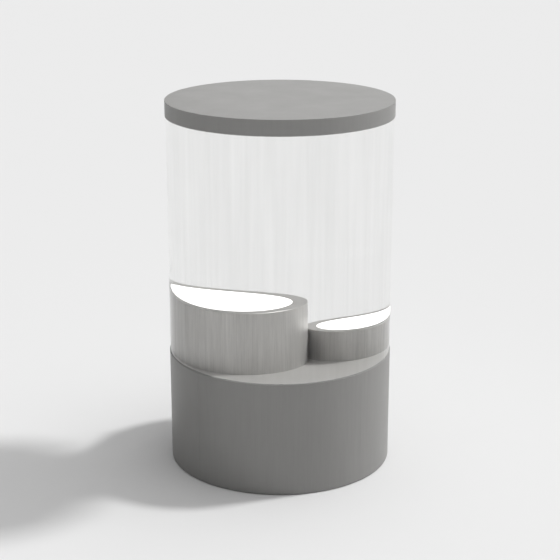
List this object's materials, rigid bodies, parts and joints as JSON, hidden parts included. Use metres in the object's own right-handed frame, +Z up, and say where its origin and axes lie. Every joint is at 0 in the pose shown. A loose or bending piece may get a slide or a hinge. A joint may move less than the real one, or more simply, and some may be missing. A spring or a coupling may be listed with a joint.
{
  "type": "tower display case",
  "caption": "Free-standing round glass showcase on a drum plinth, with a flat cap, a curved rear door and two lit round pedestals inside.",
  "frame": {"origin": "centre of the footprint, on the floor under the levelling feet", "axes": "+Z up, -Y towards the viewing side, +Y towards the door and service side, +X to the right seen from the front"},
  "size_m": [1.1, 1.1, 1.81],
  "materials": {
    "panel_paint": "satin warm grey powder coat",
    "board_paint": "board sprayed satin grey on all faces",
    "pedestal_paint": "satin grey powder coat",
    "frame_steel": "matt grey primer on steel",
    "bright_steel": "bright zinc plated",
    "satin_fitting": "satin ground",
    "foot_rubber": "matt",
    "gasket": "matt grey",
    "bush_brass": "machined",
    "black_plastic": "fine texture",
    "lead_sheath": "matt",
    "driver_case": "extruded",
    "pan_aluminium": "white inside",
    "clear_glass": "clear, polished",
    "clear_seal": "clear soft strip",
    "opal_panel": "opal diffuser, lit",
    "led_board": "lit"
  },
  "bodies": {
    "case": {"plinth_skin": "panel_paint", "rear_skin": "panel_paint", "cap_pan": "panel_paint", "door_threshold": "panel_paint", "deck_panel": "board_paint", "soffit_panel": "board_paint", "left_pedestal": "pedestal_paint", "right_pedestal": "pedestal_paint", "base_plate": "frame_steel", "foot_bosses": "frame_steel", "post_front_left": "frame_steel", "post_front_right": "frame_steel", "post_rear_left": "frame_steel", "post_rear_right": "frame_steel", "glazing_ring": "frame_steel", "deck_bearers": "frame_steel", "hatch_frame": "frame_steel", "cap_ring": "frame_steel", "cap_spacers": "frame_steel", "foot_lock_nuts": "bright_steel", "deck_screws": "bright_steel", "cap_screws": "bright_steel", "pedestal_screws": "bright_steel", "lower_glass_gasket": "gasket", "upper_glass_gasket": "gasket", "lead_grommets": "gasket", "pivot_bushes": "bush_brass", "inlet_housing": "black_plastic", "power_inlet": "black_plastic", "switch_body": "black_plastic", "mains_lead": "lead_sheath", "left_light_lead": "lead_sheath", "right_light_lead": "lead_sheath", "led_driver": "driver_case", "left_light_pan": "pan_aluminium", "right_light_pan": "pan_aluminium", "fixed_glass": "clear_glass", "door_edge_seals": "clear_seal", "left_led_modules": "led_board", "right_led_modules": "led_board"},
    "door": {"door_glass": "clear_glass", "door_sweeps": "clear_seal", "lower_pivot_block": "satin_fitting", "upper_pivot_block": "satin_fitting", "pivot_pins": "bright_steel", "glass_bolts": "bright_steel", "lock_case": "satin_fitting"},
    "lock_plug": {"lock_plug": "bright_steel"},
    "lock_bolt": {"lock_bolt": "bright_steel"},
    "hatch": {"service_hatch": "panel_paint", "hatch_pivots": "bright_steel", "hatch_lock_barrel": "bright_steel"},
    "hatch_cam": {"hatch_lock_cam": "bright_steel"},
    "rocker": {"rocker_switch": "black_plastic"},
    "foot_front_left": {"foot_front_left": "foot_rubber"},
    "foot_front_right": {"foot_front_right": "foot_rubber"},
    "foot_rear_left": {"foot_rear_left": "foot_rubber"},
    "foot_rear_right": {"foot_rear_right": "foot_rubber"},
    "left_light_panel": {"left_light_panel": "opal_panel"},
    "right_light_panel": {"right_light_panel": "opal_panel"}
  },
  "joints": [
    {"name": "door_hinge", "type": "hinge", "parent": "case", "child": "door", "pos_m": [-0.40346, 0.33436, 1.1475], "axis": [0, 0, 1], "range_deg": [0, 95]},
    {"name": "lock_plug_turn", "type": "hinge", "parent": "door", "child": "lock_plug", "pos_m": [0.42484, 0.30674, 0.606], "axis": [0.8108, 0.5854, 0], "range_deg": [0, 90]},
    {"name": "lock_bolt_slide", "type": "slide", "parent": "door", "child": "lock_bolt", "axis": [0, 0, -1], "range_m": [0, 0.012]},
    {"name": "hatch_hinge", "type": "hinge", "parent": "case", "child": "hatch", "pos_m": [-0.18427, 0.50546, 0.3], "axis": [0, 0, 1], "range_deg": [0, 100]},
    {"name": "hatch_cam_turn", "type": "hinge", "parent": "hatch", "child": "hatch_cam", "pos_m": [0.1532, 0.5011, 0.3], "axis": [-0.2924, -0.9563, 0], "range_deg": [0, 90]},
    {"name": "rocker_tilt", "type": "hinge", "parent": "case", "child": "rocker", "pos_m": [0.022, 0.498, 0.09], "axis": [-1, 0, 0], "range_deg": [0, 16]},
    {"name": "foot_front_left_adjust", "type": "slide", "parent": "case", "child": "foot_front_left", "axis": [0, 0, -1], "range_m": [0, 0.015]},
    {"name": "foot_front_right_adjust", "type": "slide", "parent": "case", "child": "foot_front_right", "axis": [0, 0, -1], "range_m": [0, 0.015]},
    {"name": "foot_rear_left_adjust", "type": "slide", "parent": "case", "child": "foot_rear_left", "axis": [0, 0, -1], "range_m": [0, 0.015]},
    {"name": "foot_rear_right_adjust", "type": "slide", "parent": "case", "child": "foot_rear_right", "axis": [0, 0, -1], "range_m": [0, 0.015]},
    {"name": "left_light_panel_lift", "type": "slide", "parent": "case", "child": "left_light_panel", "axis": [0, 0, 1], "range_m": [0, 0.12]},
    {"name": "right_light_panel_lift", "type": "slide", "parent": "case", "child": "right_light_panel", "axis": [0, 0, 1], "range_m": [0, 0.12]}
  ],
  "couplings": [
    {"joint": "lock_bolt_slide", "follows": "lock_plug_turn", "m_per_rad": 0.0076}
  ]
}
